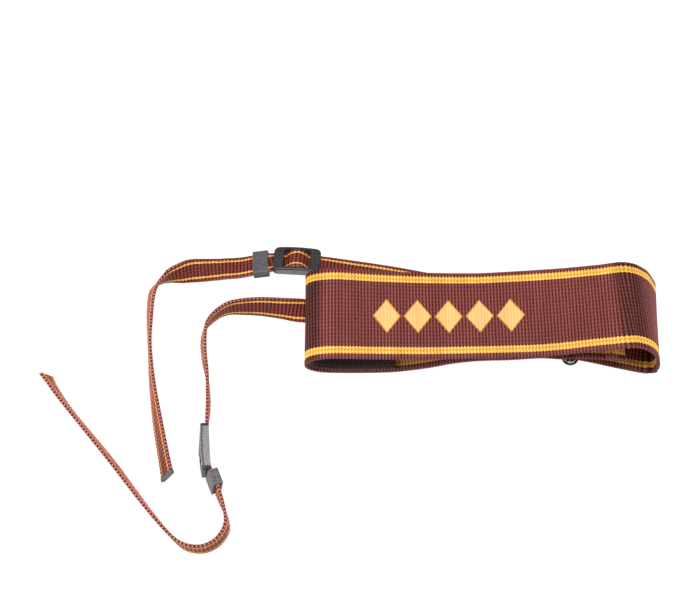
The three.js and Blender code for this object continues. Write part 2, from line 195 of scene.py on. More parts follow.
STRAP_B = [
    (108.2, -13.0, 10.4, 0),
    (112.5, -13.0, 9.0, 0),
    (115.8, -13.0, 6.4, 0),
    (116.2, -13.0, 3.9, 0),
    (113.5, -13.0, 2.4, 0),
    (104.0, -12.9, 2.5, 0),
    (97.0, -12.7, 3.6, 0),
    (91.5, -12.5, 5.3, 0),
    (86.0, -12.4, 5.6, 0),
    (80.0, -12.2, 5.3, 0),
    (74.0, -12.0, 3.8, 0),
    (67.0, -11.6, 2.3, 0),
    (60.0, -11.2, 1.7, 0),
    (52.0, -10.7, 1.0, 0),
    (44.0, -10.2, 0.3, 0),
    (34.0, -9.5, 0, 0),
    (5.0, -7.7, 0, 0),
    (-11.0, -6.8, 0, 1),
    (-18.1, -6.9, 0, 18),
    (-22.0, -7.1, 0, 38),
    (-27.0, -6.8, 0, 54),
    (-36.0, -6.1, 0, 66),
    (-44.0, -6.3, 0, 76),
    (-48.3, -6.9, 0, 84),
    (-51.9, -8.6, 0, 91),
    (-55.0, -11.3, 0, 95),
    (-57.3, -14.6, 0, 100),
    (-58.0, -19.5, 0, 104),
    (-57.5, -27.2, 0, 101),
    (-56.0, -35.7, 0, 95),
    (-55.2, -44.1, 0, 90),
    (-55.0, -50.0, 0.8, 91),
    (-55.1, -56.5, 1.4, 94),
    (-54.5, -66.0, 1.4, 96),
    (-53.5, -75.0, 1.4, 97),
    (-51.8, -78.3, 1.5, 99),
    (-50.5, -81.7, 1.4, 99),
    (-49.1, -85.7, 0.8, 97),
    (-47.6, -89.5, 0.2, 92),
    (-46.5, -93.0, 0, 88),
    (-46.1, -96.6, 0, 85),
    (-47.6, -100.5, 0, 86),
    (-51.0, -103.9, 0, 88),
    (-55.8, -105.5, 0, 90),
    (-61.5, -104.5, 0, 92),
    (-66.4, -100.9, 0, 96),
    (-75.8, -90.4, 0, 99),
    (-91.4, -70.7, 0, 103),
    (-108.1, -50.9, 0, 101),
    (-112.9, -44.8, 0, 103),
    (-117.0, -39.0, 0, 106),
    (-119.1, -35.8, 0, 112),
]

# %% [markdown]
# ## From a table to a route
#
# A route is a row of stations along the webbing. Each has its point, its directions
# (along the webbing, across its width, and out of its face) and its distance from the
# start. The curve through the rows is a Hermite spline, which goes through every row.

# %% Smooth curves and stations
MODEL_STEP = 3.0
UP = np.array([0.0, 0.0, 1.0])


def unit(vectors):
    """The same directions, each with a length of 1."""
    return vectors / np.linalg.norm(vectors, axis=-1, keepdims=True)


def smooth_rows(rows, travel_columns, step):
    """A smooth row for about every step of travel, through every row of a table."""
    table = np.array(rows, float)
    gaps = np.linalg.norm(np.diff(table[:, travel_columns], axis=0), axis=1)
    reach = np.concatenate([[0], np.cumsum(gaps)])
    last = len(table) - 1
    before = np.maximum(np.arange(last + 1) - 1, 0)
    after = np.minimum(np.arange(last + 1) + 1, last)
    slope = (table[after] - table[before]) / (reach[after] - reach[before])[:, None]
    result = [table[:1]]
    for i, gap in enumerate(gaps):
        pieces = max(1, round(gap / step))
        t = (np.arange(1, pieces + 1) / pieces)[:, None]
        a, b = table[i], table[i + 1]
        m, n = slope[i] * gap, slope[i + 1] * gap
        result.append(
            a + m * t + (3 * (b - a) - 2 * m - n) * t**2 + (2 * (a - b) + m + n) * t**3
        )
    return np.concatenate(result)


def route_of(points, across):
    """The stations' directions and distances, from their points and widths."""
    ahead = np.concatenate([points[1:], points[-1:]])
    behind = np.concatenate([points[:1], points[:-1]])
    along = unit(ahead - behind)
    square = unit(across - np.sum(across * along, axis=1, keepdims=True) * along)
    steps = np.linalg.norm(np.diff(points, axis=0), axis=1)
    return {
        "point": points,
        "along": along,
        "across": square,
        "face": np.cross(along, square),
        "distance": np.concatenate([[0], np.cumsum(steps)]),
    }


def at(route, distances):
    """The stations at given distances, each between its two neighbours."""
    d = np.atleast_1d(np.asarray(distances, float))
    mixed = {
        name: np.stack([np.interp(d, route["distance"], route[name][:, k]) for k in range(3)], 1)
        for name in ("point", "along", "across", "face")
    }
    for name in ("along", "across", "face"):
        mixed[name] = unit(mixed[name])
    mixed["distance"] = d
    return mixed


print("spline and station helpers are ready")

# %% [markdown]
# The band's left fold isn't in the table. It is a squarish half loop between the lower
# layer and the top panel, so it is worked out from its reach and its power.

# %% The neck band's route
def left_fold_rows(low, high):
    """Rows of a squarish half loop from one row to the other."""
    rows = []
    for i in range(1, LEFT_FOLD_ROWS + 1):
        angle = math.pi * (i / (LEFT_FOLD_ROWS + 1) - 0.5)
        power = 2 / LEFT_FOLD_POWER
        out = math.cos(angle) ** power
        rise = (1 + math.copysign(abs(math.sin(angle)) ** power, angle)) / 2
        mix = [a + (b - a) * rise for a, b in zip(low, high)]
        rows.append((low[0] - LEFT_FOLD_REACH * out, mix[1], mix[2], mix[3], 0))
    return rows


def band_route(step):
    """The band's stations. Its width is a slanted line between its two edges."""
    rows = LOWER_LAYER + left_fold_rows(LOWER_LAYER[-1], TOP_PANEL[0]) + TOP_PANEL
    rows = smooth_rows(rows + RIGHT_FOLD + BOTTOM_LAYER, [0, 2], step)
    x, y, near, far, shift = rows.T
    rise = far - near
    depth = np.sqrt(BAND_WIDTH**2 - rise**2 - shift**2)
    across = np.stack([shift, depth, rise], 1)
    return route_of(np.stack([x, y, near], 1) + across / 2, across)


band_model = band_route(MODEL_STEP)
band_fine = band_route(0.2)
print("neck band length in mm:", round(band_fine["distance"][-1], 1))

# %% [markdown]
# A narrow strap's width starts level and square to its travel, and is then leaned over.
# Where the strap turns back under itself, the width keeps its side.

# %% The narrow straps' routes
def strap_route(rows, step):
    """A narrow strap's stations, with its width leaned over from the level."""
    x, y, lift, lean = smooth_rows(rows, [0, 1, 2], step).T
    ground = np.stack([x, y, np.zeros_like(x)], 1)
    ahead = np.concatenate([ground[1:], ground[-1:]])
    travel = ahead - np.concatenate([ground[:1], ground[:-1]])
    side = np.array([0.0, 1.0, 0.0])
    level = []
    for move in travel:
        if np.linalg.norm(move) > step / 6:
            square = unit(np.cross(UP, move))
            side = -square if square @ side < 0 else square
        level.append(side)
    lean = np.radians(lean)[:, None]
    across = np.array(level) * np.cos(lean) + UP * np.sin(lean)
    half = np.abs(np.sin(lean)) * STRAP_WIDTH + np.abs(np.cos(lean)) * STRAP_THICK
    return route_of(ground + UP * (lift[:, None] + half / 2), across)


strap_model = {"a": strap_route(STRAP_A, MODEL_STEP), "b": strap_route(STRAP_B, MODEL_STEP)}
strap_fine = {"a": strap_route(STRAP_A, 0.25), "b": strap_route(STRAP_B, 0.25)}
for letter, route in strap_fine.items():
    print("strap", letter, "length in mm:", round(route["distance"][-1], 1))

# %% [markdown]
# In each buckle the strap rises over a bar. The buckle's place comes from the coarse
# route that the rigid model uses, and the fine route is lifted there with one smooth bump.

# %% Lift the straps over the buckles' bars
ARCH_HALF = 4.4
ARCH_RISE = 2.8
ARCH_POWER = 1.05
BUCKLE_AT = {"a": 106.0, "b": 242.8}
KEEPER_AT = {"a": 120.7, "b": 255.7}
ARCH_SIDE = {"a": -1, "b": 1}


def arch_over(route, middle, side):
    """Lifts a route over a bar at a point, to the given side of its face."""
    nearest = np.argmin(np.linalg.norm(route["point"] - middle, axis=1))
    gap = np.abs(route["distance"] - route["distance"][nearest])
    rise = ARCH_RISE * (1 - (np.minimum(gap, ARCH_HALF) / ARCH_HALF) ** 2) ** ARCH_POWER
    lifted = route["point"] + side * rise[:, None] * route["face"]
    return route_of(lifted, route["across"].copy())


strap_lying = {}
for letter in ("a", "b"):
    middle = at(strap_model[letter], BUCKLE_AT[letter])["point"][0]
    strap_lying[letter] = arch_over(strap_fine[letter], middle, ARCH_SIDE[letter])
print("straps lifted over their bars by", ARCH_RISE, "mm")

# %% [markdown]
# ## Colours and nodes
#
# Colours are written as sRGB hex values, which is how they are read from a picture, and
# one function turns them to the linear values that the shaders work in. One more adds a
# shader node with its settings and its links, so each material below is a short list. The
# nodes could be wired by hand in the editor, but a list can be read and changed at a glance.

# %% Helpers for materials
def linear(hex_colour):
    """A linear colour with its alpha, from an sRGB hex value."""
    channels = [int(hex_colour[i : i + 2], 16) / 255 for i in (1, 3, 5)]
    curve = [c / 12.92 if c <= 0.04045 else ((c + 0.055) / 1.055) ** 2.4 for c in channels]
    return (*curve, 1.0)


# name: Blender's node, and its settings
NODES = {
    "MIX": ("Mix", {"data_type": "RGBA"}),
    "TINT": ("Mix", {"data_type": "RGBA", "blend_type": "MULTIPLY"}),
    "RAMP": ("MapRange", {"interpolation_type": "SMOOTHSTEP"}),
    "NOISE": ("TexNoise", {}),
    "COMBINE": ("CombineXYZ", {}),
    "SEPARATE": ("SeparateXYZ", {}),
    "BUMP": ("Bump", {}),
    "PLACE": ("TexCoord", {}),
}
for sum_kind in ("ADD", "SUBTRACT", "MULTIPLY", "DIVIDE", "MULTIPLY_ADD", "ABSOLUTE", "FRACT",
                 "SINE", "COSINE", "LESS_THAN", "GREATER_THAN"):
    NODES[sum_kind] = ("Math", {"operation": sum_kind})


def feed(tree, socket, value):
    """Links a socket to another node's output, or sets it to a number or a colour."""
    if isinstance(value, bpy.types.NodeSocket):
        tree.links.new(value, socket)
    else:
        socket.default_value = value


def add_node(tree, kind, *values, out=None, **named):
    """Adds a node, feeds the sockets it shows in order or by name, and gives an output."""
    node_type, settings = NODES[kind]
    node = tree.nodes.new("ShaderNode" + node_type)
    for name, value in settings.items():
        setattr(node, name, value)
    shown = [socket for socket in node.inputs if socket.enabled]
    for socket, value in zip(shown, values):
        feed(tree, socket, value)
    for name, value in named.items():
        feed(tree, node.inputs[name], value)
    outputs = {socket.name: socket for socket in node.outputs if socket.enabled}
    return outputs[out] if out else next(iter(outputs.values()))


def new_material(name):
    """An empty material: itself, its node tree and its surface shader."""
    material = bpy.data.materials.new(name)
    material.use_nodes = True
    tree = material.node_tree
    tree.nodes.clear()
    surface = tree.nodes.new("ShaderNodeBsdfPrincipled")
    output = tree.nodes.new("ShaderNodeOutputMaterial")
    tree.links.new(surface.outputs["BSDF"], output.inputs["Surface"])
    return material, tree, surface


def finish_surface(tree, surface, inputs):
    """Feeds the surface shader's sockets by name."""
    for name, value in inputs.items():
        feed(tree, surface.inputs[name], value)


print("burgundy is", [round(v, 3) for v in linear("#74373A")[:3]], "in linear light")

# %% [markdown]
# ## The webbing's finish
#
# The webbing is woven nylon with thick hidden weft threads, so it has a rib across its
# width for each weft, and fine warp yarns run along the length over the ribs. Nylon has
# an IOR of about 1.53, and the yarns are matt with a soft sheen at grazing angles.
#
# The ribs themselves are geometry, because they show in the outline. The shader adds the
# yarns, a half step apart from one rib to the next as in a plain weave, the two dyed
# stripes, and the dark holes between the turns of the selvage. It also paints light and
# shade on the ribs. Crests and beads are painted lighter, as painted light. Grooves are
# darker, partly from the dark weft that shows there and partly as painted shade. It reads
# each point's distance along and across the webbing from the mesh, in millimetres.
#
# A bundle of warp yarns shows as one bead on each rib. The beads lie 1.65 mm apart on the
# wide band and slant a little across their rib, which gives the band its twisted look.
#
# A plain row of diamonds is printed on the top panel in cream, with a darker rim where the
# ink ends. Faint streaks across the webbing, placed at random, are painted shade of soft
# creases, which also keeps one rib from looking like the next.

# %% The webbing material
NYLON_IOR = 1.53
YARNS_IN_BEAD = 4
BEAD_SLANT = 1.1
NODES["WEBBING_PLACE"] = ("UVMap", {"uv_map": "webbing"})
for stored in ("selvage", "outer", "fold_shade"):
    NODES[stored] = ("Attribute", {"attribute_name": stored})


def stripe_mask(add, from_edge, crest, outer, stripe_in, stripe_wide, narrow_and_shade):
    """1 inside a woven stripe. It loses some of its width on the inner side."""
    middle = stripe_in + stripe_wide / 2
    off_middle = add("ABSOLUTE", add("SUBTRACT", from_edge, middle))
    ragged = add("MULTIPLY_ADD", crest, -0.1 * stripe_wide, off_middle)
    inner_reach = (0.45 - 0.25 * narrow_and_shade) * stripe_wide
    reach = add("MULTIPLY_ADD", outer, 0.25 * narrow_and_shade * stripe_wide, inner_reach)
    return add("LESS_THAN", ragged, reach)


def motif_masks(add, along, across, yarn, outer, print_zone):
    """Where a row of printed diamonds is inked, and where its darker rim is."""
    start, end, low, high, count = print_zone
    diamond_long = (end - start) / count
    ink_edge = 0.455
    rim_wide = 0.5
    run = add("DIVIDE", add("SUBTRACT", along, start), diamond_long)
    aside = add("ABSOLUTE", add("SUBTRACT", add("FRACT", run), 0.5))
    tall = add("ABSOLUTE", add("SUBTRACT", across, (low + high) / 2))
    shape = add("MULTIPLY_ADD", tall, 0.5 / ((high - low) / 2), aside)
    shape = add("MULTIPLY_ADD", add("SUBTRACT", yarn, 0.5), 0.02, shape)
    inked = add("LESS_THAN", shape, ink_edge)
    rim = add("GREATER_THAN", shape, ink_edge - rim_wide / diamond_long)
    inside = add(
        "MULTIPLY", add("GREATER_THAN", run, 0.0), add("LESS_THAN", run, float(count))
    )
    inked = add("MULTIPLY", add("MULTIPLY", inked, inside), add("GREATER_THAN", outer, 0.5))
    return inked, rim


def webbing_material(name, width, pitch, bead, stripe_in, stripe_wide, colours, print_zone=None):
    """Ribbed nylon webbing with two dyed stripes, and a printed motif if asked."""
    material, tree, surface = new_material(name)
    add = partial(add_node, tree)
    dye = {key: linear(value) for key, value in colours.items() if isinstance(value, str)}
    place = add("WEBBING_PLACE")
    along, across = (add("SEPARATE", place, out=axis) for axis in ("X", "Y"))
    edge, outer, fold_shade = (add(stored, out="Fac") for stored in ("selvage", "outer", "fold_shade"))

    turn = add("MULTIPLY", along, 2 * math.pi / pitch)
    crest = add("MULTIPLY_ADD", add("COSINE", turn), 0.5, 0.5)
    slant = add("MULTIPLY", add("SINE", turn), BEAD_SLANT)
    bead_turn = add("MULTIPLY_ADD", across, 2 * math.pi / bead, slant)
    yarn = add("MULTIPLY_ADD", add("COSINE", bead_turn), 0.5, 0.5)
    fine_turn = add("MULTIPLY_ADD", across, YARNS_IN_BEAD * 2 * math.pi / bead, slant)
    fine = add("MULTIPLY_ADD", add("COSINE", fine_turn), 0.5, 0.5)
    fibre = add("NOISE", add("COMBINE", along, across), 2.2, 3.0)
    crease_shade_noise = add("NOISE", add("COMBINE", along, add("MULTIPLY", across, 0.15)), 0.16, 2.0)

    # painted light and shade: how much light a place catches, high on a rib, a bead or a fine yarn,
    # low between them
    lit = add("MULTIPLY_ADD", yarn, 0.34, add("MULTIPLY", crest, 0.66))
    lit = add("MULTIPLY_ADD", fine, 0.2, add("SUBTRACT", lit, 0.1))
    # painted fold shade: where the band bends sharply, its light is painted lower and its grooves
    # darker, towards the hole colour
    lit = add("MULTIPLY_ADD", fold_shade, -0.16 * colours["fold_shade_strength"], lit)
    rough_lit = add("MULTIPLY", add("SUBTRACT", fibre, 0.5), 0.9)
    lit = add("RAMP", add("ADD", lit, rough_lit), 0.14, 0.92)
    fold_shaded = add("MULTIPLY", fold_shade, colours["fold_shade_strength"])
    groove = add("MIX", fold_shaded, dye["groove"], dye["hole"])
    crown = add("MIX", add("MULTIPLY", fold_shaded, 0.5), dye["crest"], groove)
    ground = add("MIX", lit, groove, crown)

    cell = add("MULTIPLY_ADD", yarn, 0.4, add("MULTIPLY", lit, 0.6))
    stripe = add("MIX", cell, dye["stripe_groove"], dye["stripe_crest"])
    from_edge = add("SUBTRACT", width / 2, add("ABSOLUTE", across))
    narrow_and_shade = colours["inner_narrow_and_shade"]
    in_stripe = stripe_mask(add, from_edge, crest, outer, stripe_in, stripe_wide, narrow_and_shade)
    # on the inner side the stripe is mixed towards the ground colour: painted shade, because the
    # inner faces lie in the folds' shade
    stripe = add("MIX", outer, add("MIX", narrow_and_shade, stripe, ground), stripe)
    colour = add("MIX", in_stripe, ground, stripe)

    if print_zone:
        inked, rim = motif_masks(add, along, across, yarn, outer, print_zone)
        ink = add("MIX", lit, dye["ink_groove"], dye["ink"])
        colour = add("MIX", inked, colour, add("MIX", rim, ink, dye["ink_rim"]))

    hole = add("MULTIPLY", add("RAMP", crest, 0.7, 0.35), add("RAMP", edge, 0.45, 0.8))
    colour = add("MIX", add("RAMP", edge, 0.2, 0.6), colour, dye["selvage"])
    colour = add("MIX", hole, colour, dye["hole"])
    # painted shade of soft creases: random streaks darken the colour a little
    shade = add("MULTIPLY_ADD", add("RAMP", crease_shade_noise, 0.3, 0.7), 0.2, 0.88)
    colour = add("TINT", 1.0, colour, add("COMBINE", shade, shade, shade))
    height = add("MULTIPLY_ADD", fibre, 0.5, yarn)
    finish_surface(tree, surface, {
        "Base Color": colour,
        "Normal": add("BUMP", Strength=0.8, Distance=0.1 * MM, Height=height),
        "Roughness": 0.6,
        "IOR": NYLON_IOR,
        "Specular IOR Level": colours["gloss"],
        "Sheen Weight": colours["sheen"],
        "Sheen Roughness": 0.3,
        "Sheen Tint": dye["sheen_tint"],
    })
    return material


BAND_PITCH = 1.28
STRAP_PITCH = 1.5
# groove colours are darker partly from the dark weft and partly as painted shade between the ribs;
# crest colours are lighter as painted light; the stripe and ink pairs work the same way
BURGUNDY_BAND = {
    "groove": "#4A1210", "crest": "#904F4A", "stripe_groove": "#CE8208", "stripe_crest": "#FCD070",
    "ink_groove": "#EBB56A", "ink": "#F2C486", "ink_rim": "#D08A24", "selvage": "#8A4847",
    # hole is the selvage holes and also the painted shade in the folds' grooves; the strength after
    # it sets how much painted fold shade the band gets
    "hole": "#1C0506", "fold_shade_strength": 0.85, "inner_narrow_and_shade": 0.3, "gloss": 0.15, "sheen": 0.08,
    "sheen_tint": "#E0A0A0",
}
BURGUNDY_STRAP = {
    "groove": "#42110E", "crest": "#8E463C", "stripe_groove": "#DC962A", "stripe_crest": "#FACE74",
    "selvage": "#BA766C", "hole": "#4A1316", "fold_shade_strength": 0.0, "inner_narrow_and_shade": 0.0, "gloss": 0.12,
    "sheen": 0.85, "sheen_tint": "#F09078",
}


def place_on_panel(x):
    """The distance along the band at which its top panel passes a given x."""
    on_top = (band_fine["point"][:, 2] > 12) & (band_fine["along"][:, 0] > 0.5)
    return band_fine["distance"][on_top][np.argmin(np.abs(band_fine["point"][on_top, 0] - x))]


MOTIF_FROM, MOTIF_TO, DIAMONDS = 8.5, 69.5, 5
MOTIF_LOW, MOTIF_HIGH = -9.0, 7.5
print_from, print_to = place_on_panel(MOTIF_FROM), place_on_panel(MOTIF_TO)
band_nylon = webbing_material(
    "burgundy_ribbed_nylon_band", BAND_WIDTH, BAND_PITCH, 1.65, 2.0, 3.0, BURGUNDY_BAND,
    print_zone=(print_from, print_to, MOTIF_LOW, MOTIF_HIGH, DIAMONDS),
)
strap_nylon = webbing_material(
    "burgundy_ribbed_nylon_strap", STRAP_WIDTH, STRAP_PITCH, 1.3, 1.25, 0.75, BURGUNDY_STRAP
)
print("motif from", round(print_from, 1), "to", round(print_to, 1), "mm along the band")
print("webbing materials:", band_nylon.name, strap_nylon.name)

# %% [markdown]
# ## Weaving the ribbed surface
#
# A strip is lofted with six sections for each rib. Between the ribs the section is a
# little thinner and narrower, so the ribs catch the light and the selvage is scalloped,
# as on the real webbing. Subdivision would need far more faces for the same ribs. Where
# the webbing presses on the table, it is flattened there and goes no lower.
#
# Where webbing turns sharply its ribs spread a little, but most of the darkening there is
# painted shade: the folds turn away from the top light, so their colour is darkened and
# their grooves are pushed towards the darkest colour. So each section also stores how
# sharply it bends, as the amount of painted fold shade, for the shader to read.

# %% The webbing mesh
RIB_SAMPLES = 6
SELVAGE_ROUND = 0.45
SLIGHT_BEND, SHARP_BEND = 0.05, 0.095
BEND_SPAN = 21


def strip_section(width, thick, columns):
    """Points round one section: across, height, how far it is selvage, and if it is outer."""
    half, top = width / 2, thick / 2
    flat = half - SELVAGE_ROUND
    inner = [(x, -top, 0, 0) for x in np.linspace(-flat, flat, columns)]
    outer = [(x, top, 0, 1) for x in np.linspace(flat, -flat, columns)]
    right, left = [], []
    for angle in (-50, -18, 18, 50):
        a = math.radians(angle)
        far = flat + SELVAGE_ROUND * math.cos(a) ** 0.6
        high = top * math.copysign(abs(math.sin(a)) ** 0.8, a)
        near_edge = 1.0 if abs(angle) < 30 else 0.6
        right.append((far, high, near_edge, 1 if a > 0 else 0))
        left.append((-far, -high, near_edge, 0 if a > 0 else 1))
    return np.array(inner + right + outer + left, float)


def weave(name, route, width, thick, pitch, depth, columns, start=0.0):
    """A closed strip of ribbed webbing along a route, with its places stored for the shader."""
    length = route["distance"][-1]
    sections = int(round(length / pitch * RIB_SAMPLES)) + 1
    line = at(route, np.linspace(0, length, sections))
    ring = strip_section(width, thick, columns)
    count = len(ring)
    places = line["distance"] + start
    crest = 0.5 + 0.5 * np.cos(2 * np.pi * places / pitch)
    thin = 1 - (1 - crest[:, None] ** 0.8) * depth * 2 / thick
    narrow = 1 - (1 - crest[:, None] ** 0.8) * depth * 1.6 / width
    across = ring[None, :, 0] * np.where(ring[None, :, 2] > 0, narrow, 1.0)
    height = ring[None, :, 1] * thin
    points = (
        line["point"][:, None, :]
        + across[:, :, None] * line["across"][:, None, :]
        + height[:, :, None] * line["face"][:, None, :]
    )
    points = points.reshape(-1, 3) + TABLE_ZERO
    points[:, 2] = np.maximum(points[:, 2], 0)
    points *= MM
    faces = []
    for i in range(sections - 1):
        a, b = i * count, (i + 1) * count
        faces += [(a + k, a + (k + 1) % count, b + (k + 1) % count, b + k) for k in range(count)]
    faces.append(tuple(range(count))[::-1])
    faces.append(tuple((sections - 1) * count + k for k in range(count)))
    mesh = bpy.data.meshes.new(name)
    mesh.from_pydata(points.tolist(), [], faces)
    layer = mesh.uv_layers.new(name="webbing")
    owner = np.zeros(len(mesh.loops), int)
    mesh.loops.foreach_get("vertex_index", owner)
    uv = np.stack([places[owner // count], ring[owner % count, 0]], 1)
    layer.data.foreach_set("uv", uv.astype(np.float32).ravel())
    # how sharply the webbing turns, as the amount of painted fold shade
    turning = np.linalg.norm(np.gradient(line["along"], places, axis=0), axis=1)
    turning = np.convolve(turning, np.ones(BEND_SPAN) / BEND_SPAN, "same")
    fold_shade = np.clip((turning - SLIGHT_BEND) / (SHARP_BEND - SLIGHT_BEND), 0, 1)
    stored = {
        "selvage": np.tile(ring[:, 2], sections),
        "outer": np.tile(ring[:, 3], sections),
        "fold_shade": np.repeat(fold_shade, count),
    }
    for attribute, values in stored.items():
        data = mesh.attributes.new(attribute, "FLOAT", "POINT").data
        data.foreach_set("value", values.astype(np.float32))
    return finish_mesh(name, mesh)


def finish_mesh(name, mesh, flip_check=True):
    """Turns the faces outward, smooths them and adds the object to the scene."""
    if flip_check:
        work = bmesh.new()
        work.from_mesh(mesh)
        bmesh.ops.recalc_face_normals(work, faces=work.faces)
        if work.calc_volume(signed=True) < 0:
            bmesh.ops.reverse_faces(work, faces=work.faces)
        work.to_mesh(mesh)
        work.free()
    mesh.shade_smooth()
    piece = bpy.data.objects.new(name, mesh)
    bpy.context.collection.objects.link(piece)
    return piece


def dress(piece, material, slot, *nodes):
    """Gives a piece its material and says which node it stands for. Its slot argument is not used.
    """
    if material:
        piece.data.materials.append(material)
    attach(piece, "root")
    if nodes:
        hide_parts(*nodes)
    return piece


# %% [markdown]
# The narrow straps are finer webbing with a shallow rib. Each is one strip along its route,
# and it stands for the plain strap of the rigid model.

# %% Weave the narrow straps
STRAP_RIB_DEEP = 0.15
STRAP_COLUMNS = 9
FULL_WIDTH = STRAP_WIDTH + 0.3
FULL_THICK = STRAP_THICK + 0.1
for letter in ("a", "b"):
    strap = weave(
        f"strap_{letter}_webbing", strap_lying[letter], FULL_WIDTH, FULL_THICK,
        STRAP_PITCH, STRAP_RIB_DEEP, STRAP_COLUMNS,
    )
    dress(strap, strap_nylon, "strap_webbing", f"strap_{letter}")
    print(strap.name, "faces:", len(strap.data.polygons))

# %% [markdown]
# ## The band and its hems
#
# Each end of the neck band is folded back on its inner side and sewn down. So the band is
# woven as one strip whose route starts on the first hem, turns round its nose, runs the
# length of the band, and turns back at the other end.

# %% The band with both ends folded back
HEM_LENGTH = 9.0
NOSE = 0.8
NOSE_POINTS = 14
NOSE_AT = NOSE + BAND_THICK / 2 + 1.1


def shifted(route, offset):
    """The same route, moved out of its face by an offset."""
    return route_of(route["point"] + offset * route["face"], route["across"].copy())


def stretch(route, start, end, step=0.2):
    """The part of a route between two distances."""
    part = at(route, np.linspace(start, end, max(2, int(abs(end - start) / step) + 1)))
    return route_of(part["point"], part["across"])


def nose_points(route, distance, way):
    """Points round the fold at an end, from the inner side to the band's own middle."""
    s = at(route, distance)
    centre = s["point"][0] - NOSE * s["face"][0]
    turns = np.radians(np.linspace(-78, 78, NOSE_POINTS))[:, None]
    ahead = way * np.cos(turns) * s["along"][0]
    return centre + NOSE * (ahead + np.sin(turns) * s["face"][0]), s["across"][0]


def folded_band(route):
    """The band's route with a hem turned back on its inner side at each end."""
    length = route["distance"][-1]
    body = stretch(route, NOSE_AT, length - NOSE_AT)
    first = shifted(stretch(route, HEM_LENGTH, NOSE_AT), 2 * NOSE)
    last = shifted(stretch(route, length - NOSE_AT, length - HEM_LENGTH), 2 * NOSE)
    nose_a, width_a = nose_points(route, NOSE_AT, -1)
    nose_b, width_b = nose_points(route, length - NOSE_AT, 1)
    points = [first["point"], nose_a, body["point"], nose_b[::-1], last["point"]]
    widths = [first["across"], np.tile(width_a, (NOSE_POINTS, 1)), body["across"]]
    widths += [np.tile(width_b, (NOSE_POINTS, 1)), last["across"]]
    return route_of(np.concatenate(points), np.concatenate(widths))


band_length = band_fine["distance"][-1]
folded = folded_band(band_fine)
before = HEM_LENGTH + math.pi * NOSE - 2 * NOSE_AT
band = weave("neck_band_webbing", folded, BAND_WIDTH, BAND_THICK, BAND_PITCH, 0.2, 11, -before)
dress(band, band_nylon, "band_webbing", "neck_band")
print("neck band faces:", len(band.data.polygons), "hems of", HEM_LENGTH, "mm")

# %% [markdown]
# ## The backing pad
#
# A thin black pad is sewn to the band's inner face, where the strap lies on the neck. It
# runs round the left fold. A row of burgundy running stitches holds each of its edges.

# %% The pad
PAD_THICK = 0.9
PAD_INSET = 1.1
PAD_FROM, PAD_TO = 91.5, 186.0


def fine_distance(route, fine, distance):
    """Where a distance on the coarse route falls on the fine one."""
    point = at(route, distance)["point"][0]
    return fine["distance"][np.argmin(np.linalg.norm(fine["point"] - point, axis=1))]


def cloth_material(name, colour, light, scale, roughness, bump_mm):
    """A fine matt cloth with a slight mottle."""
    material, tree, surface = new_material(name)
    add = partial(add_node, tree)
    place = add("PLACE", out="Object")
    grain = add("NOISE", place, scale, 4.0)
    mottle = add("NOISE", place, scale / 12, 2.0)
    share = add("MULTIPLY_ADD", mottle, 0.5, add("MULTIPLY", grain, 0.5))
    finish_surface(tree, surface, {
        "Base Color": add("MIX", share, linear(colour), linear(light)),
        "Normal": add("BUMP", Strength=0.7, Distance=bump_mm * MM, Height=grain),
        "Roughness": roughness,
        "Sheen Weight": 0.2,
    })
    return material


pad_cloth = cloth_material("black_split_leather_pad", "#1E1313", "#442E2E", 2200.0, 0.85, 0.12)
pad_from = fine_distance(band_model, band_fine, PAD_FROM)
pad_to = fine_distance(band_model, band_fine, PAD_TO)
pad_line = shifted(stretch(band_fine, pad_from, pad_to), -(BAND_THICK + PAD_THICK) / 2 - 0.12)
pad = weave("backing_pad", pad_line, BAND_WIDTH - 2 * PAD_INSET, PAD_THICK, 5.0, 0.0, 9)
dress(pad, pad_cloth, "backing", "band_backing")
print("pad from", round(pad_from, 1), "to", round(pad_to, 1), "mm along the band")

# %% [markdown]
# A stitch is a short fat thread that dives into the cloth at both ends. Each is a small
# capsule, pressed a little into the surface, and all the stitches of one seam are joined
# in one mesh, because hundreds of objects would only slow the render.

# %% The stitches
THREAD = 0.42


def stitch_shape(length):
    """Points and faces of one stitch along x, arched over z."""
    rings = 6
    sides = 6
    points, faces = [], []
    for i in range(rings + 1):
        t = i / rings
        x = (t - 0.5) * length
        radius = THREAD / 2 * max(0.25, math.sin(math.pi * t) ** 0.4)
        lift = THREAD * 0.35 * math.sin(math.pi * t)
        for k in range(sides):
            a = 2 * math.pi * k / sides
            points.append((x, radius * math.cos(a), lift + radius * math.sin(a)))
    for i in range(rings):
        for k in range(sides):
            a, b = i * sides + k, i * sides + (k + 1) % sides
            faces.append((a, b, b + sides, a + sides))
    faces.append(tuple(range(sides))[::-1])
    faces.append(tuple(rings * sides + k for k in range(sides)))
    return np.array(points), faces


def sew(name, places, length, material, slot):
    """One mesh of stitches. A place is a point, the thread's direction, and the way out."""
    shape, shape_faces = stitch_shape(length)
    points, faces = [], []
    for point, run, out in places:
        basis = np.stack([run, np.cross(out, run), out])
        faces += [tuple(len(points) * len(shape) + k for k in face) for face in shape_faces]
        points.append(shape @ basis + point)
    mesh = bpy.data.meshes.new(name)
    mesh.from_pydata(((np.concatenate(points) + TABLE_ZERO) * MM).tolist(), [], faces)
    return dress(finish_mesh(name, mesh, flip_check=False), material, slot)


def seam_along(route, start, end, pitch, side, out, lift):
    """Places of a seam along the webbing, at a distance to one side."""
    places = []
    for distance in np.arange(start + pitch / 2, end, pitch):
        s = at(route, distance)
        point = s["point"][0] + side * s["across"][0] + out * lift * s["face"][0]
        places.append((point, s["along"][0], out * s["face"][0]))
    return places


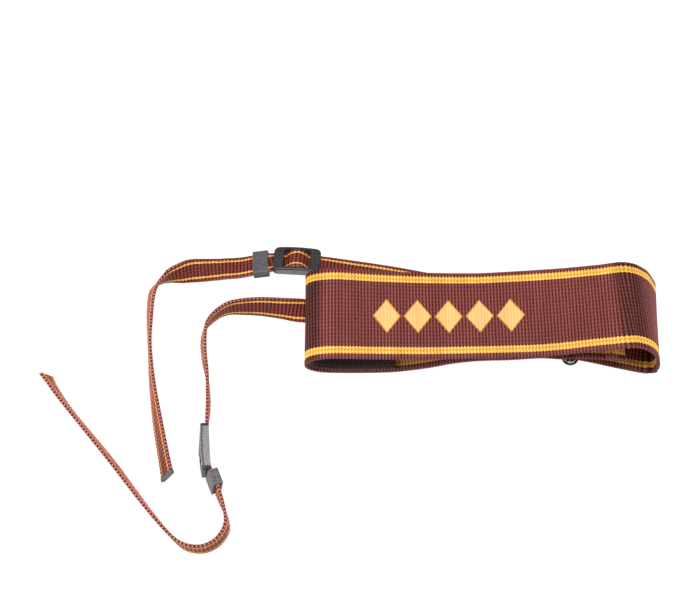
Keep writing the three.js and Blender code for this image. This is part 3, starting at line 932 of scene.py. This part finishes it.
def seam_across(route, distance, pitch, width, out, lift):
    """Places of a seam across the webbing."""
    s = at(route, distance)
    places = []
    for side in np.arange(-width / 2 + pitch / 2, width / 2, pitch):
        point = s["point"][0] + side * s["across"][0] + out * lift * s["face"][0]
        places.append((point, s["across"][0], out * s["face"][0]))
    return places


thread = cloth_material("burgundy_nylon_thread", "#3E1818", "#7A4240", 4000.0, 0.6, 0.03)
pad_seams = []
for side in (-1, 1):
    row = side * (BAND_WIDTH / 2 - PAD_INSET - 1.6)
    pad_seams += seam_along(
        band_fine, pad_from + 1, pad_to - 1, 2.4, row, -1, BAND_THICK / 2 + PAD_THICK + 0.12
    )
sew("pad_stitches", pad_seams, 1.4, thread, "backing")
hem_seams = []
for distance in (HEM_LENGTH - 1.5, band_length - HEM_LENGTH + 1.5):
    hem_seams += seam_across(band_fine, distance, 2.2, BAND_WIDTH - 2, -1, BAND_THICK * 1.5 + 0.05)
    hem_seams += seam_across(band_fine, distance, 2.2, BAND_WIDTH - 2, 1, BAND_THICK / 2 - 0.15)
sew("hem_stitches", hem_seams, 1.5, thread, "band_webbing")
print("stitches:", len(pad_seams), "on the pad and", len(hem_seams), "on the hems")

# %% [markdown]
# ## The mouldings
#
# The buckles, the keepers and the cap on strap A's tip are moulded in black acetal, which
# has an IOR of 1.48. Their faces are matt from a spark-eroded mould, whose grain of about
# 0.1 mm is drawn four times as coarse so that it shows. Their edges are painted lighter and
# made glossier, as a painted highlight along each edge. The lighter edges are a material
# of their own on the bevels, and so are the buckles' flanks, which are paler than the faces.

# %% The moulded plastic
ACETAL_IOR = 1.48


def moulded_material(name, dark, light, roughness):
    """Moulded plastic with a coarse grain, a faint cloud and one roughness."""
    material, tree, surface = new_material(name)
    add = partial(add_node, tree)
    place = add("PLACE", out="Object")
    grain = add("NOISE", place, 2600.0, 3.0)
    cloud = add("NOISE", place, 250.0, 3.0)
    speck = add("MULTIPLY", add("RAMP", grain, 0.36, 0.64), 0.55)
    share = add("MULTIPLY_ADD", cloud, 0.3, speck)
    finish_surface(tree, surface, {
        "Base Color": add("MIX", share, linear(dark), linear(light)),
        "Normal": add("BUMP", Strength=0.8, Distance=0.06 * MM, Height=grain),
        "Roughness": add("MULTIPLY_ADD", cloud, 0.2, roughness - 0.1),
        "IOR": ACETAL_IOR,
    })
    return material


black_acetal = moulded_material("black_moulded_acetal", "#080708", "#504E50", 0.45)
black_flank = moulded_material("black_moulded_acetal_flank", "#565458", "#918F94", 0.4)
# the edge materials are lighter than the faces: a painted highlight along the bevels
edge_highlight_black = moulded_material("black_moulded_acetal_edge_highlight", "#201E20", "#4A484A", 0.25)
grey_acetal = moulded_material("grey_moulded_acetal", "#2E2C2F", "#757377", 0.5)
edge_highlight_grey = moulded_material("grey_moulded_acetal_edge_highlight", "#3A383A", "#7C7A7E", 0.25)
print("moulding materials:", black_acetal.name, grey_acetal.name, "and their painted edge highlights")

# %% [markdown]
# A buckle is a domed frame. It is built the way a toolmaker would see it: a rounded
# plate, cut to a lens-shaped side, with a window through it and a channel below for the
# webbing, and a round bar across the window. The cuts are booleans, and one bevel then
# softens every edge. The pieces' sizes are the model's own.

# %% Helpers for the mouldings
def outline(length, width, corner, arc=6):
    """Corner points of a rounded rectangle, anticlockwise."""
    points = []
    for quarter, (sx, sy) in enumerate([(1, 1), (-1, 1), (-1, -1), (1, -1)]):
        for i in range(arc + 1):
            a = math.pi / 2 * (quarter + i / arc)
            x = sx * (length / 2 - corner) + corner * math.cos(a)
            y = sy * (width / 2 - corner) + corner * math.sin(a)
            points.append((x, y))
    return points


def prism(name, flat, low, high, axis="z"):
    """A closed prism over a flat outline."""
    count = len(flat)
    points = [(x, y, low) for x, y in flat] + [(x, y, high) for x, y in flat]
    if axis == "x":
        points = [(z, x, y) for x, y, z in points]
    if axis == "y":
        points = [(x, z, y) for x, y, z in points]
    faces = [tuple(range(count))[::-1], tuple(range(count, 2 * count))]
    faces += [(k, (k + 1) % count, count + (k + 1) % count, count + k) for k in range(count)]
    mesh = bpy.data.meshes.new(name)
    mesh.from_pydata([tuple(v * MM for v in p) for p in points], [], faces)
    return finish_mesh(name, mesh)


def carve(body, tool, operation):
    """Cuts or joins a body with a tool, and takes the tool away."""
    change = body.modifiers.new("carve", "BOOLEAN")
    change.operation = operation
    change.object = tool
    change.solver = "EXACT"
    apply_all(body)
    mesh = tool.data
    bpy.data.objects.remove(tool)
    bpy.data.meshes.remove(mesh)


def apply_all(piece):
    """Applies the modifiers of a piece."""
    shape = piece.evaluated_get(bpy.context.evaluated_depsgraph_get())
    mesh = bpy.data.meshes.new_from_object(shape)
    piece.modifiers.clear()
    old = piece.data
    piece.data = mesh
    bpy.data.meshes.remove(old)


def soften(piece, width, plastic, edge_highlight, flank=None, flank_at=(0.0, 0.0), segments=3):
    """Bevels the edges in a lighter, glossier plastic, a painted edge highlight. Side faces may
    have a flank finish up to a height.
    """
    for material in (plastic, edge_highlight, flank):
        if material:
            piece.data.materials.append(material)
    if flank:
        for face in piece.data.polygons:
            outside = abs(face.normal.y) > 0.95 and abs(face.center.y) > flank_at[0] * MM
            if outside and face.center.z < flank_at[1] * MM:
                face.material_index = 2
    bevel = piece.modifiers.new("soften", "BEVEL")
    bevel.width = width * MM
    bevel.segments = segments
    bevel.limit_method = "ANGLE"
    bevel.angle_limit = math.radians(40)
    bevel.material = 1
    apply_all(piece)
    piece.data.shade_smooth()
    normals = piece.modifiers.new("normals", "WEIGHTED_NORMAL")
    normals.keep_sharp = True
    apply_all(piece)


def seat(piece, point, along, across, face):
    """Puts a piece that was built about zero at a station, in the model's frame."""
    place = Matrix.Identity(4)
    for row in range(3):
        place[row][0], place[row][1], place[row][2] = along[row], across[row], face[row]
        place[row][3] = (point[row] + TABLE_ZERO[row]) * MM
    piece.data.transform(place)
    if place.determinant() < 0:
        piece.data.flip_normals()


print("moulding helpers are ready")

# %% [markdown]
# The two buckles are one moulding, so one function builds it and each is seated where its
# strap passes. A shallow groove runs along each flank just under the domed face. The far
# side of the flank is what the camera sees of a buckle that lies flat.

# %% The buckles
BUCKLE_LENGTH, BUCKLE_WIDTH, BUCKLE_HIGH = 19.0, 12.2, 3.7
BUCKLE_CORNER = 2.1
WINDOW_LENGTH, WINDOW_WIDTH = 11.0, 10.0
CHANNEL_HIGH = 1.5
DOME_DROP = 0.7
GROOVE_LOW, GROOVE_TOP = 1.0, 0.5
GROOVE_IN, GROOVE_OUT = 5.6, 7
BAR_AT, BAR_LONG, BAR_HIGH = 1.5, 0.95, 0.62


def buckle(name):
    """A domed frame with a window, a bar across it and a channel for the strap."""
    body = prism(name, outline(BUCKLE_LENGTH, BUCKLE_WIDTH, BUCKLE_CORNER), 0, BUCKLE_HIGH)
    radius = ((BUCKLE_LENGTH / 2) ** 2 + DOME_DROP**2) / (2 * DOME_DROP)
    arc = [math.radians(a) for a in np.linspace(-12, 12, 41)]
    dome = [(radius * math.sin(a), BUCKLE_HIGH - radius + radius * math.cos(a)) for a in arc]
    side = [(dome[0][0], -1), (dome[-1][0], -1), *dome[::-1]]
    carve(body, prism("dome", side, -10, 10, "y"), "INTERSECT")
    window = outline(WINDOW_LENGTH, WINDOW_WIDTH, 0.4, 3)
    carve(body, prism("window", window, -1, BUCKLE_HIGH + 1), "DIFFERENCE")
    channel = outline(BUCKLE_LENGTH + 4, WINDOW_WIDTH, 0.01, 1)
    carve(body, prism("channel", channel, -1, CHANNEL_HIGH), "DIFFERENCE")
    band = [(x, z - GROOVE_LOW) for x, z in dome] + [(x, z - GROOVE_TOP) for x, z in dome[::-1]]
    for low, high in ((-GROOVE_OUT, -GROOVE_IN), (GROOVE_IN, GROOVE_OUT)):
        carve(body, prism("groove", band, low, high, "y"), "DIFFERENCE")
    turns = np.linspace(0, 2 * math.pi, 17)[:-1]
    bar = [(BAR_LONG * math.cos(a), BAR_AT + BAR_HIGH * math.sin(a)) for a in turns]
    bar_end = WINDOW_WIDTH / 2 + 0.3
    carve(body, prism("bar", bar, -bar_end, bar_end, "y"), "UNION")
    soften(body, 0.24, black_acetal, edge_highlight_black, black_flank, (BUCKLE_WIDTH / 2 - 0.1, BUCKLE_HIGH))
    return body


for letter in ("a", "b"):
    side = ARCH_SIDE[letter]
    s = at(strap_model[letter], BUCKLE_AT[letter])
    point = s["point"][0] - side * STRAP_THICK / 2 * s["face"][0]
    piece = buckle(f"slide_buckle_{letter}")
    seat(piece, point, s["along"][0], side * s["across"][0], side * s["face"][0])
    dress(piece, None, "black_plastic", f"buckle_{letter}")
    print(piece.name, "faces:", len(piece.data.polygons))

# %% [markdown]
# A keeper is a flat tube. The strap's spare end is pushed through it, to keep it in line. It
# has a groove along each side, where the two halves of its mould meet. The tip is a small
# cap that is moulded on the strap's end, so that the webbing can't fray.

# %% The keepers and the tip
KEEPER_LENGTH, KEEPER_WIDTH, KEEPER_HIGH = 6.3, 11.2, 4.0
HOLE_WIDTH, HOLE_HIGH = 10.0, 2.4
TIP_LENGTH = 1.6
# columns: side, height, round the keeper's side groove
SIDE_GROOVE = [(5.25, 0.3), (6, 0.2), (6, 1.25), (5.25, 1.15)]
KEEPER_TURN = {"a": math.radians(4), "b": 0.0}


def keeper(name):
    """A flat tube with rounded edges and a groove along each side."""
    shell = outline(KEEPER_WIDTH, KEEPER_HIGH, 0.75, 4)
    body = prism(name, shell, -KEEPER_LENGTH / 2, KEEPER_LENGTH / 2, "x")
    hole = outline(HOLE_WIDTH, HOLE_HIGH, 0.5, 3)
    carve(body, prism("hole", hole, -KEEPER_LENGTH, KEEPER_LENGTH, "x"), "DIFFERENCE")
    for end in (-1, 1):
        groove = [(end * across, high) for across, high in SIDE_GROOVE][::end]
        carve(body, prism("groove", groove, -KEEPER_LENGTH, KEEPER_LENGTH, "x"), "DIFFERENCE")
    soften(body, 0.35, grey_acetal, edge_highlight_grey)
    return body


for letter in ("a", "b"):
    s = at(strap_model[letter], KEEPER_AT[letter])
    piece = keeper(f"keeper_loop_{letter}")
    along, across, face = s["along"][0], s["across"][0], s["face"][0]
    c, d = math.cos(KEEPER_TURN[letter]), math.sin(KEEPER_TURN[letter])
    seat(piece, s["point"][0], c * along + d * across, c * across - d * along, face)
    dress(piece, None, "black_plastic", f"keeper_{letter}")
    print(piece.name, "faces:", len(piece.data.polygons))

end = at(strap_fine["a"], strap_fine["a"]["distance"][-1])
tip = prism("strap_tip", outline(STRAP_WIDTH + 0.3, STRAP_THICK + 0.5, 0.5, 4), 0, TIP_LENGTH, "x")
soften(tip, 0.25, grey_acetal, edge_highlight_grey)
seat(tip, end["point"][0], end["along"][0], end["across"][0], end["face"][0])
dress(tip, None, "black_plastic", "tip_a")
print("tip at the end of strap a")

# %% [markdown]
# ## The press stud
#
# The stud under the near edge of the band is turned from brass and enamelled black, so it
# is glossy. It is spun from a profile: a dished cap, a shank through the webbing, and a
# small head on the other side. Inside its rim sits a thin ring of bright metal, a second
# spun piece, put there as a painted highlight: it gives the crescent of light that the rim
# catches, with a crisp edge.

# %% The press stud
STUD_INSET = 1.6
STUD_AT = 22.5


def enamel_material(name):
    """Gloss black enamel, a little uneven."""
    material, tree, surface = new_material(name)
    add = partial(add_node, tree)
    cloud = add("NOISE", add("PLACE", out="Object"), 900.0, 2.0)
    finish_surface(tree, surface, {
        "Base Color": add("MIX", cloud, linear("#030303"), linear("#0C0B0C")),
        "Roughness": add("MULTIPLY_ADD", cloud, 0.12, 0.1),
        "IOR": 1.5,
        "Specular IOR Level": 0.3,
    })
    return material


# columns: radius, height out of the face that lies down
STUD_PROFILE = [
    (0, -2.1), (1.45, -2.1), (1.5, -1.8), (0.8, -1.7), (0.8, 1.15), (2.3, 1.15), (2.7, 0.95),
    (3.0, 0.85), (3.3, 0.95), (3.4, 1.2), (3.4, 1.5),
    (3.4, 2.1), (3.25, 2.4), (2.9, 2.55), (2.55, 2.4), (2.3, 1.95), (1.3, 1.8), (0.75, 1.85),
    (0.7, 2.3), (0.5, 2.45), (0, 2.45),
]


def spin(name, profile, sides=48):
    """A turned piece about z. The profile starts and ends on the axis."""
    points = [(0, 0, profile[0][1])]
    for radius, height in profile[1:-1]:
        for k in range(sides):
            a = 2 * math.pi * k / sides
            points.append((radius * math.cos(a), radius * math.sin(a), height))
    points.append((0, 0, profile[-1][1]))
    faces = [(0, 1 + (k + 1) % sides, 1 + k) for k in range(sides)]
    rows = len(profile) - 2
    for i in range(rows - 1):
        for k in range(sides):
            a, b = 1 + i * sides + k, 1 + i * sides + (k + 1) % sides
            faces.append((a, b, b + sides, a + sides))
    last = 1 + (rows - 1) * sides
    faces += [(len(points) - 1, last + k, last + (k + 1) % sides) for k in range(sides)]
    mesh = bpy.data.meshes.new(name)
    mesh.from_pydata([tuple(v * MM for v in p) for p in points], [], faces)
    return finish_mesh(name, mesh)


s = at(band_model, STUD_AT)
stud = spin("press_stud_cap", STUD_PROFILE)
stud_point = s["point"][0] + (STUD_INSET - BAND_WIDTH / 2) * s["across"][0]
seat(stud, stud_point, s["along"][0], s["across"][0], s["face"][0])
dress(stud, enamel_material("black_enamelled_brass"), "stud", "press_stud")


def highlight_ring_material(name):
    """Bright metal for the ring that paints the rim's highlight."""
    material, tree, surface = new_material(name)
    add = partial(add_node, tree)
    cloud = add("NOISE", add("PLACE", out="Object"), 1500.0, 2.0)
    finish_surface(tree, surface, {
        "Base Color": add("MIX", cloud, linear("#A8A6A2"), linear("#E4E2DE")),
        "Metallic": 1.0,
        "Roughness": 0.3,
    })
    return material


# columns: radius, height, round the bright highlight ring inside the rim, on the side that shows
HIGHLIGHT_RING_PROFILE = [
    (0, 1.4), (2.2, 1.4), (2.28, 1.0), (2.42, 0.9), (2.6, 0.92), (2.7, 1.1), (2.6, 1.5), (0, 1.5),
]
# a painted highlight: the bright ring stands in for the light that the stud's rim catches
ring = spin("press_stud_highlight_ring", HIGHLIGHT_RING_PROFILE)
seat(ring, stud_point, s["along"][0], s["across"][0], s["face"][0])
dress(ring, highlight_ring_material("bright_metal_highlight_ring"), "stud")
print("stud at", [round(v, 1) for v in stud_point])

# %% [markdown]
# ## The table and the light
#
# The strap lies on a white sweep, lit so evenly that the sweep turns pure white and hardly
# any shadow is left. Three wide soft lights stand low at the left, the right and the front,
# which is why the faces of the standing straps are paler than the band. One hangs above.

# %% The floor and the lights
def floor():
    """A white sweep that glows a little, so that it turns pure white."""
    size = 3.0
    mesh = bpy.data.meshes.new("floor")
    corners = [(-size, -size, 0), (size, -size, 0), (size, size, 0), (-size, size, 0)]
    mesh.from_pydata(corners, [], [(0, 1, 2, 3)])
    sheet = bpy.data.objects.new("floor", mesh)
    bpy.context.collection.objects.link(sheet)
    material, tree, surface = new_material("white_sweep")
    finish_surface(tree, surface, {
        "Base Color": linear("#6A6A6A"),
        "Roughness": 0.9,
        "Emission Color": linear("#FFFFFF"),
        "Emission Strength": 0.95,
        "Specular IOR Level": 0.0,
    })
    mesh.materials.append(material)


LIGHT_FAR = 1.2
# columns: name, azimuth, rise, size, watts
LIGHTS = [
    ("left_light", 190, 14, 0.6, 11.0),
    ("right_light", -10, 14, 0.6, 6.0),
    ("front_light", 270, 22, 0.6, 2.4),
    ("top_light", 90, 87, 0.5, 14.0),
]
WORLD_STRENGTH = 0.12


def soft_light(name, azimuth, rise, size, watts):
    """A square soft light that looks at the strap."""
    data = bpy.data.lights.new(name, "AREA")
    data.shape = "SQUARE"
    data.size = size
    data.energy = watts
    light = bpy.data.objects.new(name, data)
    a, r = math.radians(azimuth), math.radians(rise)
    way = Vector((math.cos(a) * math.cos(r), math.sin(a) * math.cos(r), math.sin(r)))
    light.location = way * LIGHT_FAR
    light.rotation_euler = way.to_track_quat("Z", "Y").to_euler()
    bpy.context.collection.objects.link(light)


floor()
for row in LIGHTS:
    soft_light(*row)
world = bpy.data.worlds.new("studio")
world.use_nodes = True
world.node_tree.nodes["Background"].inputs[0].default_value = linear("#FFFFFF")
world.node_tree.nodes["Background"].inputs[1].default_value = WORLD_STRENGTH
bpy.context.scene.world = world
view = bpy.context.scene.view_settings
view.view_transform = "Standard"
view.look = "None"
view.exposure = 0.0
print("floor, four lights and a white surround")
